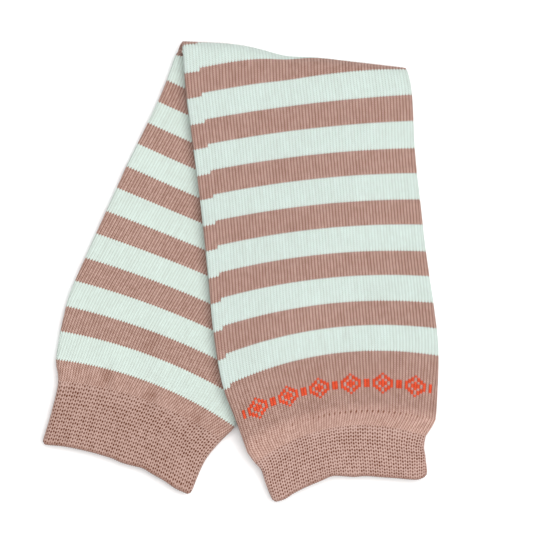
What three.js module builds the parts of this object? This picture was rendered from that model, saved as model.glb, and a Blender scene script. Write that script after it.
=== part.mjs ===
// A pair of knitted leg warmers, laid flat one on the other and folded together once across the middle.
// Each warmer is a striped tube with a ribbed cuff at both ends. The outer warmer wraps round the inner one at the
// fold, so it is on top in the front leg and at the bottom in the back leg.
// Millimetres, +Z up. The pair lies on the plane z = 0, with its hems towards -Y and the fold towards +Y.
import * as THREE from "three";

// Cloth
const LEG_WALL = 1.0;
const CUFF_WALL = 1.25;
const PANEL_GAP = 0.3; // free space inside a flat tube, between its two panels
const WARMER_GAP = 0.3; // between the two warmers
const SEAM_GAP = 0.3; // between a leg and its cuff
const ROW_HEIGHT = 0.755; // one knitted row
const RIB_HEIGHT = 0.3;
const RIBS = 36; // ribs across one panel of a cuff

// Knitted rows, counted from the middle of the tube
const BAND_ROW = 169; // the last mint stripe ends and the plain band starts
const FRONT_CUFF_ROW = 207;
const FRONT_HEM_ROW = 230;
const BACK_CUFF_ROW = 178;
const BACK_HEM_ROW = 210;

// The fold, seen from above: its left and right ends
const FOLD_LEFT = new THREE.Vector2(-21.4, 86.1);
const FOLD_RIGHT = new THREE.Vector2(62.1, 76.3);
const FOLD_INNER_RADIUS = 0.6;
const LEG_GAP = 0.6; // between the front leg and the back leg where they lie on each other
const FOLD_BULGE_REACH = 9; // how far from the fold the front leg stays lifted

// The back leg's right edge, which the front leg drapes over
const EDGE_TOP = new THREE.Vector2(61.7, 76.1);
const EDGE_BOTTOM = new THREE.Vector2(-2.1, -58.5);
const DRAPE_START = -2; // from that edge
const DRAPE_WIDTH = 26;

// How far the hidden tube of each leg lies inside the one that shows
const HIDDEN_INSET = 0.6;
const INSET_REACH = 8; // from the side, where the inset has faded out
const HIDING_REACH = 35; // along the cloth, over which a tube goes from hidden to showing
const HIDDEN_HEM_ROWS = 2;

// The front leg, a row for each section: its left and right edge, and how far its middle arches towards the fold
const FRONT_SECTIONS = [
  { row: 44, leftX: -18.3, leftY: 56.3, rightX: 64.4, rightY: 66.3, arch: 1.0 },
  { row: 69, leftX: -16.1, leftY: 37.6, rightX: 65.4, rightY: 46.1, arch: 1.5 },
  { row: 94, leftX: -13.9, leftY: 18.9, rightX: 67.4, rightY: 26.9, arch: 1.8 },
  { row: 119, leftX: -11.7, leftY: -0.4, rightX: 69.6, rightY: 7.7, arch: 2.8 },
  { row: 144, leftX: -9.4, leftY: -20.4, rightX: 72.6, rightY: -11.6, arch: 3.8 },
  { row: BAND_ROW, leftX: -5.8, leftY: -42.6, rightX: 74.6, rightY: -31.7, arch: 6.3 },
  { row: 184, leftX: -2.2, leftY: -54.6, rightX: 74.4, rightY: -43.9, arch: 7.2 },
  { row: 198, leftX: 1.6, leftY: -65.6, rightX: 73.6, rightY: -55.6, arch: 7.8 },
  { row: FRONT_CUFF_ROW, leftX: 6.6, leftY: -72.0, rightX: 69.8, rightY: -61.9, arch: 8.6 },
  { row: FRONT_HEM_ROW, leftX: 12.4, leftY: -86.2, rightX: 69.6, rightY: -77.4, arch: 5.4 },
];

// The back leg, in the same columns
const BACK_SECTIONS = [
  { row: 19, leftX: -28.3, leftY: 71.8, rightX: 45.9, rightY: 42.8, arch: -1.2 },
  { row: 44, leftX: -35.4, leftY: 55.9, rightX: 37.9, rightY: 26.2, arch: -1.0 },
  { row: 69, leftX: -43.4, leftY: 39.6, rightX: 29.8, rightY: 9.0, arch: -0.5 },
  { row: 94, leftX: -50.4, leftY: 22.6, rightX: 21.9, rightY: -7.1, arch: 0.5 },
  { row: 119, leftX: -58.1, leftY: 5.6, rightX: 13.9, rightY: -24.6, arch: 1.8 },
  { row: 144, leftX: -65.3, leftY: -12.4, rightX: 5.8, rightY: -40.9, arch: 2.5 },
  { row: BAND_ROW, leftX: -69.4, leftY: -33.7, rightX: -2.1, rightY: -58.5, arch: 4.6 },
  { row: BACK_CUFF_ROW, leftX: -69.0, leftY: -41.3, rightX: -6.9, rightY: -63.4, arch: 4.5 },
  { row: 194, leftX: -71.4, leftY: -52.1, rightX: -13.3, rightY: -71.3, arch: 3.6 },
  { row: BACK_HEM_ROW, leftX: -74.6, leftY: -64.2, rightX: -19.5, rightY: -83.8, arch: 2.3 },
];

// Where the folded edge stands out or dips, along the fold from its left end
const FOLD_WAVES = [
  { at: 17, width: 9, rise: 1.5 },
  { at: 38, width: 7, rise: -1.4 },
];
const WAVE_REACH = 35; // along the cloth, to either side

// Soft swellings of the panel that shows, a row for each: end is 1 in the front leg and -1 in the back leg, row is
// its middle, reach its half length in rows, rise its height and gathers the waves across the leg
const SWELLINGS = [
  { end: 1, row: 120, reach: 90, rise: 0.35, gathers: 0 },
  { end: 1, row: 196, reach: 14, rise: 0.9, gathers: 0 },
  { end: 1, row: 188, reach: 16, rise: 0.3, gathers: 4.5 },
  { end: -1, row: 110, reach: 80, rise: 0.35, gathers: 0 },
  { end: -1, row: 166, reach: 12, rise: 0.7, gathers: 0 },
  { end: -1, row: 158, reach: 16, rise: 0.35, gathers: 4.5 },
];

// Mesh fineness: steps across a panel, round a side, across a rib, round the fold and along each stretch
const PANEL_STEPS = 14;
const SIDE_STEPS = 4;
const RIB_STEPS = 2;
const FOLD_STEPS = 7;
const BACK_LEG_STEPS = 7;
const FRONT_LEG_STEPS = 9;
const BACK_TAPER_STEPS = 3;
const FRONT_TAPER_STEPS = 6;
const CUFF_STEPS = 4;
const BACK_TAPER_ROW = 157; // where a leg starts to narrow towards its cuff
const FRONT_TAPER_ROW = 171;

const MINT = new THREE.MeshStandardMaterial({ color: 0xdbe8df, roughness: 0.95, metalness: 0 });
const ROSE = new THREE.MeshStandardMaterial({ color: 0xb98f82, roughness: 0.95, metalness: 0 });

const tubeHeight = (wall) => 2 * wall + PANEL_GAP;
const pairHeight = (wall) => 2 * tubeHeight(wall) + WARMER_GAP;
const LEG_PAIR = pairHeight(LEG_WALL);
const FOLD_RADIUS = FOLD_INNER_RADIUS + LEG_PAIR;
const FOLD_LENGTH = Math.PI * FOLD_RADIUS; // of the outermost cloth, from the front leg round to the back leg
const ALONG_FOLD = FOLD_RIGHT.clone().sub(FOLD_LEFT).normalize();
const BEYOND_FOLD = new THREE.Vector2(-ALONG_FOLD.y, ALONG_FOLD.x);
const EDGE_DOWN = EDGE_BOTTOM.clone().sub(EDGE_TOP).normalize();

const clamp01 = (t) => Math.min(1, Math.max(0, t));
const smooth = (t) => clamp01(t) ** 2 * (3 - 2 * clamp01(t));
const bell = (t) => Math.exp(-t * t);

// A point seen from above, as its place on the cloth unfolded about the front leg: along is measured beside the
// fold, and beyond from where the bend starts, on the outermost cloth.
function unfolded(x, y, isBack) {
  const p = new THREE.Vector2(x, y).sub(FOLD_LEFT);
  const ahead = p.dot(BEYOND_FOLD) + FOLD_RADIUS;
  return { along: p.dot(ALONG_FOLD), beyond: isBack ? FOLD_LENGTH - ahead : ahead };
}

// All sections in one list from the back hem to the front hem, with their length along the cloth in millimetres.
function unfoldedSections() {
  const unfoldOne = (s, isBack) => {
    const left = unfolded(s.leftX, s.leftY, isBack);
    const right = unfolded(s.rightX, s.rightY, isBack);
    const sign = isBack ? -1 : 1;
    return {
      length: sign * s.row * ROW_HEIGHT,
      values: [left.along, left.beyond, right.along, right.beyond, sign * s.arch],
    };
  };
  const back = BACK_SECTIONS.map((s) => unfoldOne(s, true)).reverse();
  return back.concat(FRONT_SECTIONS.map((s) => unfoldOne(s, false)));
}
const SECTIONS = unfoldedSections();

// Slopes for a curve through the sections that never swings past them.
function slopesOf(sections) {
  const step = (i) => sections[i + 1].length - sections[i].length;
  const rise = (i, k) => (sections[i + 1].values[k] - sections[i].values[k]) / step(i);
  const last = sections.length - 1;
  return sections.map((s, i) =>
    s.values.map((_, k) => {
      if (i === 0) return rise(0, k);
      if (i === last) return rise(last - 1, k);
      const before = rise(i - 1, k);
      const after = rise(i, k);
      if (before * after <= 0) return 0;
      const heavy = 2 * step(i) + step(i - 1);
      const light = step(i) + 2 * step(i - 1);
      return (heavy + light) / (heavy / before + light / after);
    }),
  );
}
const SLOPES = slopesOf(SECTIONS);

// The section at a length along the cloth, by cubic interpolation.
function sectionAt(length) {
  let i = SECTIONS.length - 2;
  while (i > 0 && SECTIONS[i].length > length) i -= 1;
  const span = SECTIONS[i + 1].length - SECTIONS[i].length;
  const t = (length - SECTIONS[i].length) / span;
  const [leftAlong, leftBeyond, rightAlong, rightBeyond, arch] = SECTIONS[i].values.map((v0, k) => {
    const v1 = SECTIONS[i + 1].values[k];
    const rise = v1 - v0;
    const m0 = SLOPES[i][k] * span;
    const m1 = SLOPES[i + 1][k] * span;
    return v0 + t * (m0 + t * (3 * rise - 2 * m0 - m1 + t * (m0 + m1 - 2 * rise)));
  });
  const left = new THREE.Vector2(leftAlong, leftBeyond);
  const chord = new THREE.Vector2(rightAlong, rightBeyond).sub(left);
  return { left, chord, width: chord.length(), arch };
}

// A point of the unfolded cloth: across runs from 0 at the left edge to 1 at the right edge.
function onCloth(section, across) {
  const lift = (4 * across * (1 - across) * section.arch) / section.width;
  return {
    along: section.left.x + section.chord.x * across - section.chord.y * lift,
    beyond: section.left.y + section.chord.y * across + section.chord.x * lift,
  };
}

// Height of the front leg's lower face over the table.
function frontLegBase(x, y, beyond) {
  const fromEdge = -new THREE.Vector2(x, y).sub(EDGE_TOP).cross(EDGE_DOWN);
  const share = smooth((fromEdge - DRAPE_START) / DRAPE_WIDTH);
  const bulge = (2 * FOLD_INNER_RADIUS - LEG_GAP) * bell(beyond / FOLD_BULGE_REACH);
  return (LEG_PAIR + LEG_GAP) * (1 - share) + bulge;
}

// The folded place of a point of the cloth that lies depth above the inner face of the two warmers.
function folded({ along, beyond }, depth, pairDepth) {
  const bent = clamp01(beyond / FOLD_LENGTH) * Math.PI;
  const radius = FOLD_INNER_RADIUS + depth;
  const flat = beyond <= 0 ? beyond : Math.min(0, FOLD_LENGTH - beyond);
  const wave = FOLD_WAVES.reduce((sum, w) => sum + w.rise * bell((along - w.at) / w.width), 0);
  const nearFold = bell((beyond - FOLD_LENGTH / 2) / WAVE_REACH);
  const out = flat + radius * Math.sin(bent) - FOLD_RADIUS + wave * nearFold;
  const x = FOLD_LEFT.x + ALONG_FOLD.x * along + BEYOND_FOLD.x * out;
  const y = FOLD_LEFT.y + ALONG_FOLD.y * along + BEYOND_FOLD.y * out;
  if (beyond <= 0) return new THREE.Vector3(x, y, frontLegBase(x, y, beyond) + depth);
  if (beyond < FOLD_LENGTH) {
    const centre = LEG_PAIR + FOLD_INNER_RADIUS;
    return new THREE.Vector3(x, y, centre + radius * Math.cos(bent));
  }
  return new THREE.Vector3(x, y, pairDepth - depth);
}

// How far the panel that shows stands off the one under it. It lies close at the fold and at both sides.
function swelling(isFront, length, across) {
  const row = Math.abs(length) / ROW_HEIGHT;
  const edge = 4 * across * (1 - across) * smooth((row - 24) / 20);
  return SWELLINGS.filter((s) => s.end === (isFront ? 1 : -1)).reduce((sum, s) => {
    const wave = s.gathers ? Math.cos(2 * Math.PI * s.gathers * (across - 0.5)) : 1;
    return sum + s.rise * wave * edge * bell((row - s.row) / s.reach);
  }, 0);
}

// One loop of a flat tube's wall in the section across the leg, as places across it and heights in it. inset is 0
// for the outer face of the wall and the wall's thickness for the inner face. Ribs, if any, stand on one panel.
function tubeLoop({ width, height, inset, ribbedPanel }) {
  const radius = height / 2 - inset;
  const reach = height / 2; // of the rounded side
  const loop = [];
  const panel = (top) => {
    const ribbed = ribbedPanel === (top ? "top" : "bottom");
    const steps = ribbed ? RIBS * RIB_STEPS : PANEL_STEPS;
    for (let i = 0; i <= steps; i += 1) {
      const t = top ? i / steps : 1 - i / steps;
      const rib = ribbed && inset === 0 && i % RIB_STEPS === 1 ? RIB_HEIGHT : 0;
      loop.push({
        across: (reach + t * (width - 2 * reach)) / width,
        height: height / 2 + (top ? radius + rib : -radius - rib),
        isTop: top,
        isBottom: !top,
      });
    }
  };
  const side = (isRight) => {
    for (let i = 1; i < SIDE_STEPS; i += 1) {
      const angle = (Math.PI * i) / SIDE_STEPS;
      const out = radius * Math.sin(angle);
      const centre = isRight ? width - reach : reach;
      loop.push({
        across: (isRight ? centre + out : centre - out) / width,
        height: height / 2 + radius * Math.cos(angle) * (isRight ? 1 : -1),
        isTop: false,
        isBottom: false,
      });
    }
  };
  panel(true);
  side(true);
  panel(false);
  side(false);
  return loop;
}

// A closed wall through a list of sections, each an outer and an inner loop of points. The diagonals of its faces
// all run the same way seen from above, so that walls which lie on each other stay apart: goesLeft says which
// points of a loop are passed from right to left.
function wallGeometry(sections, goesLeft) {
  const count = sections[0].outer.length;
  const points = sections.flatMap(({ outer, inner }) => [...outer, ...inner]);
  const index = [];
  const quad = (a, b, c, d, turned) => {
    if (turned) index.push(b, c, d, b, d, a);
    else index.push(a, b, c, a, c, d);
  };
  const last = sections.length - 1;
  for (let s = 0; s <= last; s += 1) {
    for (let i = 0; i < count; i += 1) {
      const next = (i + 1) % count;
      const here = 2 * count * s;
      const ahead = here + 2 * count;
      if (s < last) {
        const [inHere, inAhead] = [here + count, ahead + count];
        quad(here + next, here + i, ahead + i, ahead + next, goesLeft[i]);
        quad(inHere + i, inHere + next, inAhead + next, inAhead + i, !goesLeft[i]);
      }
      if (s === 0) quad(here + count + next, here + count + i, here + i, here + next, false);
      if (s === last) quad(here + next, here + i, here + count + i, here + count + next, false);
    }
  }
  const geometry = new THREE.BufferGeometry().setFromPoints(points);
  geometry.setIndex(index);
  geometry.computeVertexNormals();
  return geometry;
}

// How far a hidden tube's point lies inside the one that shows, as a share of the width: only near its sides.
function insetAt(across, width) {
  const fromSide = width / 2 - Math.abs(across - 0.5) * width;
  return (Math.sign(across - 0.5) * HIDDEN_INSET * (1 - smooth(fromSide / INSET_REACH))) / width;
}

// The tube of one warmer through sections at the given lengths along the cloth.
function tubeMesh({ name, isOuter, lengths, wall, ribbedPanel = "none", material }) {
  const height = tubeHeight(wall);
  const sections = lengths.map((length) => {
    const loopAt = (inset) =>
      tubeLoop({ width: sectionAt(length).width, height, inset, ribbedPanel }).map((p) => {
        const slanted = length + foldSlant(length) * (p.across - 0.5);
        const section = sectionAt(slanted);
        const frontShare = smooth(0.5 + (slanted - foldMiddle(p.across)) / HIDING_REACH);
        const hidden = isOuter ? 1 - frontShare : frontShare;
        const across = p.across - hidden * insetAt(p.across, section.width);
        const isFront = slanted > 0;
        const rise = swelling(isFront, slanted, clamp01(across));
        const shows = isFront ? isOuter && p.isTop : !isOuter && p.isBottom;
        const swollen = shows ? (isFront ? rise : -rise) : 0;
        const level = isOuter ? height + WARMER_GAP : 0;
        return folded(onCloth(section, across), level + p.height + swollen, pairHeight(wall));
      });
    return { outer: loopAt(0), inner: loopAt(wall) };
  });
  const goesLeft = tubeLoop({ width: 1, height: 1, inset: 0, ribbedPanel }).map((p) => p.isBottom);
  const mesh = new THREE.Mesh(wallGeometry(sections, goesLeft), material);
  mesh.name = name;
  return mesh;
}

// The length along the cloth at which the bend is half way round, at a place across the leg.
function foldMiddle(across) {
  let low = SECTIONS[0].length;
  let high = SECTIONS[SECTIONS.length - 1].length;
  while (high - low > 1e-6) {
    const middle = (low + high) / 2;
    if (onCloth(sectionAt(middle), across).beyond > FOLD_LENGTH / 2) low = middle;
    else high = middle;
  }
  return (low + high) / 2;
}

// The solid's sections run along the fold there and along the knitted rows further away: how much further along
// the cloth a section's right side lies than its left side.
const FOLD_AT = foldMiddle(0.5);
const SLANT_AT_FOLD = foldMiddle(1) - foldMiddle(0);
const SLANT_REACH = 55;
function foldSlant(length) {
  const away = Math.abs(length - FOLD_AT);
  return SLANT_AT_FOLD * (1 - smooth((away - FOLD_LENGTH) / SLANT_REACH));
}

const evenly = (from, to, steps) =>
  Array.from({ length: steps + 1 }, (_, i) => from + ((to - from) * i) / steps);

// Lengths of a leg's sections from its back seam to its front seam.
function legLengths() {
  const backSeam = -BACK_CUFF_ROW * ROW_HEIGHT + SEAM_GAP / 2;
  const backTaper = -BACK_TAPER_ROW * ROW_HEIGHT;
  const foldStart = FOLD_AT - FOLD_LENGTH / 2;
  const foldEnd = FOLD_AT + FOLD_LENGTH / 2;
  const frontTaper = FRONT_TAPER_ROW * ROW_HEIGHT;
  const frontSeam = FRONT_CUFF_ROW * ROW_HEIGHT - SEAM_GAP / 2;
  return [
    ...evenly(backSeam, backTaper, BACK_TAPER_STEPS),
    ...evenly(backTaper, foldStart, BACK_LEG_STEPS).slice(1),
    ...evenly(foldStart, foldEnd, FOLD_STEPS).slice(1, -1),
    ...evenly(foldEnd, frontTaper, FRONT_LEG_STEPS),
    ...evenly(frontTaper, frontSeam, FRONT_TAPER_STEPS).slice(1),
  ];
}

// Lengths of a cuff's sections from its seam to its hem.
function cuffLengths(seamRow, hemRow, isFront, isHidden) {
  const sign = isFront ? 1 : -1;
  const seam = seamRow * ROW_HEIGHT + SEAM_GAP / 2;
  const hem = (hemRow - (isHidden ? HIDDEN_HEM_ROWS : 0)) * ROW_HEIGHT;
  const lengths = evenly(seam, hem, CUFF_STEPS).map((length) => sign * length);
  return isFront ? lengths : lengths.reverse();
}

function cuffMesh(name, isOuter, isFront) {
  const isHidden = isOuter !== isFront;
  const seamRow = isFront ? FRONT_CUFF_ROW : BACK_CUFF_ROW;
  const hemRow = isFront ? FRONT_HEM_ROW : BACK_HEM_ROW;
  return tubeMesh({
    name,
    isOuter,
    lengths: cuffLengths(seamRow, hemRow, isFront, isHidden),
    wall: CUFF_WALL,
    ribbedPanel: isHidden ? "none" : isFront ? "top" : "bottom",
    material: ROSE,
  });
}

function legMesh(name, isOuter) {
  return tubeMesh({ name, isOuter, lengths: legLengths(), wall: LEG_WALL, material: MINT });
}

const pair = new THREE.Group();
pair.add(
  legMesh("outer_leg", true),
  cuffMesh("outer_front_cuff", true, true),
  cuffMesh("outer_back_cuff", true, false),
  legMesh("inner_leg", false),
  cuffMesh("inner_front_cuff", false, true),
  cuffMesh("inner_back_cuff", false, false),
);

export default pair;
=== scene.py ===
"""Dresses a pair of knitted leg warmers that lie flat one on the other, folded together once across the middle.

Each warmer is a tube of jersey with mint and dusty rose stripes and a meshy ribbed cuff at both ends. Every piece is
a closed wall worked out on a grid: one parameter runs round the tube and the other along it, out over the outer face
and back over the inner one. Sizes are in millimetres until a mesh is made.
"""

import logging
import math
from dataclasses import dataclass
from enum import Enum

import bpy
import numpy as np
from numpy.typing import NDArray
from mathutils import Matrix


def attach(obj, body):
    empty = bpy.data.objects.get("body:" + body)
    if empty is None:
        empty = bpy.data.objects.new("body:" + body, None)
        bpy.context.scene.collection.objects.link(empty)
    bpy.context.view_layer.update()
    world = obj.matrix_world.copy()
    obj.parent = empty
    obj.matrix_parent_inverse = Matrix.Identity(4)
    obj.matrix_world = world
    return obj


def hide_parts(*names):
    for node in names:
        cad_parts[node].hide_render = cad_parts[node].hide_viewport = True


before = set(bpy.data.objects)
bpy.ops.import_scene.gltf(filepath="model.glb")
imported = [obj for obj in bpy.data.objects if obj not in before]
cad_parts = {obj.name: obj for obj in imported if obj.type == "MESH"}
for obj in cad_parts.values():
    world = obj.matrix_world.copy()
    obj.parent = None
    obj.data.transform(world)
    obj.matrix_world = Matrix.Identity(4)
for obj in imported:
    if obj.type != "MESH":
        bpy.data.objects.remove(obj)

Array = NDArray[np.float64]
Colour = tuple[float, float, float, float]
Socket = bpy.types.NodeSocket

LOG = logging.getLogger("leg_warmers")
MM = 0.001

# Knitting
ROW_HEIGHT = 0.755
WALES = 144
STRIPE_ROWS = 12.15
MINT_ROWS = 12.85
BAND_ROW = 169
RIBS = 72
FRONT_CUFF_STITCHES = 15
BACK_CUFF_STITCHES = 17
FRONT_CUFF_SLANT = 0.07

# Where each piece starts and ends, in knitted rows from the middle of the tube
FRONT_CUFF_ROW = 207
FRONT_HEM_ROW = 230
BACK_CUFF_ROW = 178
BACK_HEM_ROW = 210
HIDDEN_HEM_ROWS = 2

# How fine the grids are: columns to a wale, then columns to a rib and rows to a stitch of a cuff
COLUMNS_PER_WALE = 3
SHOWN_GRID = (8, 5)
HIDDEN_GRID = (5, 3)

# Share of the length of a crease over which its ends fade out, and the rows where the swellings set in
CREASE_FADE = 0.55
SWELLING_FROM = 24
SWELLING_OVER = 20

# Thickness of the cloth and the spaces in it
LEG_WALL = 1.0
CUFF_WALL = 1.25
PANEL_GAP = 0.3
WARMER_GAP = 0.3


class Half(Enum):
    """Which half of a folded warmer a piece is in, with its sign along the cloth."""

    FRONT = 1
    BACK = -1


class Warmer(Enum):
    """Which of the two warmers a piece belongs to."""

    OUTER = "outer"
    INNER = "inner"


def smooth(t: Array) -> Array:
    """Rise from 0 to 1 as t goes from 0 to 1, level at both ends.

    Args:
        t: Any values; below 0 gives 0 and above 1 gives 1.

    Returns:
        Three times the square less twice the cube of t.
    """
    t = np.clip(t, 0.0, 1.0)
    return t * t * (3.0 - 2.0 * t)


def bell(t: Array) -> Array:
    """Return e to the minus t squared."""
    return np.exp(-t * t)


@dataclass(frozen=True)
class Section:
    """One knitted row of a leg as it lies, seen from above, in millimetres.

    arch is how far the middle of the row stands towards the fold from the line between its two ends, and sag takes
    it down again on the right.
    """

    row: int
    left: tuple[float, float]
    right: tuple[float, float]
    arch: float
    sag: float = 0.0


FRONT_SECTIONS = (
    Section(19, (-21.2, 75.1), (63.3, 86.7), 0.1),
    Section(31, (-20.3, 65.6), (63.1, 76.9), 1.1),
    Section(44, (-19.0, 55.7), (64.3, 66.1), 1.4),
    Section(69, (-16.5, 36.6), (65.4, 46.1), 1.9),
    Section(94, (-14.2, 17.8), (67.4, 26.9), 2.3),
    Section(119, (-12.2, -1.7), (69.6, 7.4), 3.2),
    Section(144, (-10.3, -21.8), (72.4, -11.9), 4.4),
    Section(BAND_ROW, (-6.6, -43.4), (74.4, -31.8), 6.5),
    Section(184, (-2.3, -54.7), (74.0, -43.9), 7.2),
    Section(198, (1.7, -65.7), (73.3, -55.6), 8.0),
    Section(201, (2.5, -68.0), (72.4, -57.6), 8.2),
    Section(204, (3.9, -70.0), (71.1, -59.7), 8.4),
    Section(FRONT_CUFF_ROW, (5.4, -72.0), (69.5, -61.9), 8.6),
    Section(213, (7.9, -75.2), (69.0, -65.8), 7.8, 1.0),
    Section(219, (9.2, -79.4), (69.5, -69.6), 7.0, 2.0),
    Section(FRONT_HEM_ROW, (12.3, -87.1), (70.3, -76.8), 5.6, 4.0),
)

BACK_SECTIONS = (
    Section(19, (-27.7, 71.6), (45.9, 42.8), -1.2),
    Section(44, (-34.8, 55.7), (37.9, 26.2), -1.0),
    Section(69, (-42.8, 39.4), (29.8, 9.0), -0.5),
    Section(94, (-50.4, 22.6), (21.9, -7.1), 0.5),
    Section(119, (-58.3, 5.0), (13.9, -24.6), 2.0),
    Section(144, (-65.5, -13.1), (5.8, -40.9), 2.9),
    Section(BAND_ROW, (-69.3, -33.1), (-2.1, -58.5), 4.4),
    Section(BACK_CUFF_ROW, (-68.4, -41.3), (-6.9, -63.4), 4.5),
    Section(192, (-70.8, -52.1), (-13.3, -71.3), 3.9),
    Section(BACK_HEM_ROW, (-74.6, -64.7), (-18.9, -84.3), 3.4),
)


@dataclass(frozen=True)
class Wave:
    """A place where the folded edge or a hem stands out or dips, along it from its left end."""

    at: float
    width: float
    rise: float


@dataclass(frozen=True)
class Swelling:
    """A soft swelling of the panel that shows.

    row is its middle, reach its half length in rows, rise its height, and gathers the waves across the leg.
    """

    half: Half
    row: float
    reach: float
    rise: float
    gathers: float = 0.0


@dataclass(frozen=True)
class Crease:
    """A soft ridge, or a trough where rise is negative, from start to end as seen from above."""

    half: Half
    start: tuple[float, float]
    end: tuple[float, float]
    width: float
    rise: float


HEM_WAVES = {
    Half.FRONT: (
        Wave(4.5, 2.5, 0.45),
        Wave(23.5, 3.0, -0.6),
        Wave(31.5, 3.0, 0.5),
        Wave(47.0, 5.0, -0.3),
        Wave(55.0, 2.5, 0.4),
    ),
    Half.BACK: (
        Wave(2.0, 4.0, 0.4),
        Wave(31.0, 3.0, 0.35),
        Wave(39.0, 3.0, -0.55),
        Wave(53.0, 4.0, 0.65),
    ),
}

SWELLINGS = (
    Swelling(Half.FRONT, 120, 90, 0.35),
    Swelling(Half.FRONT, 187, 13, 0.9),
    Swelling(Half.FRONT, 188, 16, 0.3, 4.5),
    Swelling(Half.BACK, 110, 80, 0.35),
    Swelling(Half.BACK, 166, 12, 0.7),
    Swelling(Half.BACK, 158, 16, 0.35, 4.5),
)

CREASES = (
    Crease(Half.BACK, (-56.6, -43.0), (-54.9, -36.5), 1.7, 0.5),
    Crease(Half.BACK, (-51.8, -43.6), (-49.2, -37.0), 2.4, -0.65),
    Crease(Half.BACK, (-48.6, -45.0), (-46.2, -38.5), 1.6, 0.6),
    Crease(Half.BACK, (-35.6, -50.6), (-32.4, -43.6), 2.5, -0.7),
    Crease(Half.BACK, (-31.4, -51.8), (-27.8, -45.0), 1.6, 0.7),
    Crease(Half.BACK, (-18.4, -59.2), (-14.8, -52.2), 2.5, -0.7),
    Crease(Half.BACK, (-13.8, -60.2), (-10.2, -53.8), 1.6, 0.65),
    Crease(Half.BACK, (-34.6, -32.5), (-31.4, -24.5), 2.4, -0.35),
    Crease(Half.BACK, (-29.4, -33.0), (-26.4, -25.5), 2.0, 0.5),
    Crease(Half.FRONT, (15.5, -64.0), (12.5, -53.0), 1.8, 0.5),
    Crease(Half.FRONT, (27.0, -58.0), (25.0, -48.0), 1.8, -0.3),
    Crease(Half.FRONT, (43.0, -55.0), (42.0, -45.0), 2.2, 0.5),
    Crease(Half.FRONT, (58.0, -54.0), (59.0, -44.0), 2.0, -0.3),
    Crease(Half.FRONT, (68.0, -55.0), (71.0, -44.0), 1.8, 0.4),
    Crease(Half.FRONT, (50.5, -24.0), (50.0, 44.0), 2.8, 0.35),
)


@dataclass(frozen=True)
class Trough:
    """A soft trough in a panel that lies underneath, from start to end.

    start and end are shares across the leg and rows from the middle of the tube.
    """

    half: Half
    start: tuple[float, float]
    end: tuple[float, float]
    width: float
    depth: float


TROUGHS = (
    Trough(Half.BACK, (0.2, 60), (0.62, 74), 3.0, 0.3),
    Trough(Half.BACK, (0.75, 118), (0.35, 131), 3.5, 0.3),
    Trough(Half.BACK, (0.3, 158), (0.34, 174), 1.8, 0.35),
    Trough(Half.BACK, (0.62, 160), (0.6, 176), 2.0, 0.35),
    Trough(Half.FRONT, (0.85, 70), (0.5, 84), 3.0, 0.3),
    Trough(Half.FRONT, (0.9, 135), (0.55, 122), 3.5, 0.3),
    Trough(Half.FRONT, (0.72, 186), (0.7, 204), 2.0, 0.35),
)


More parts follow.
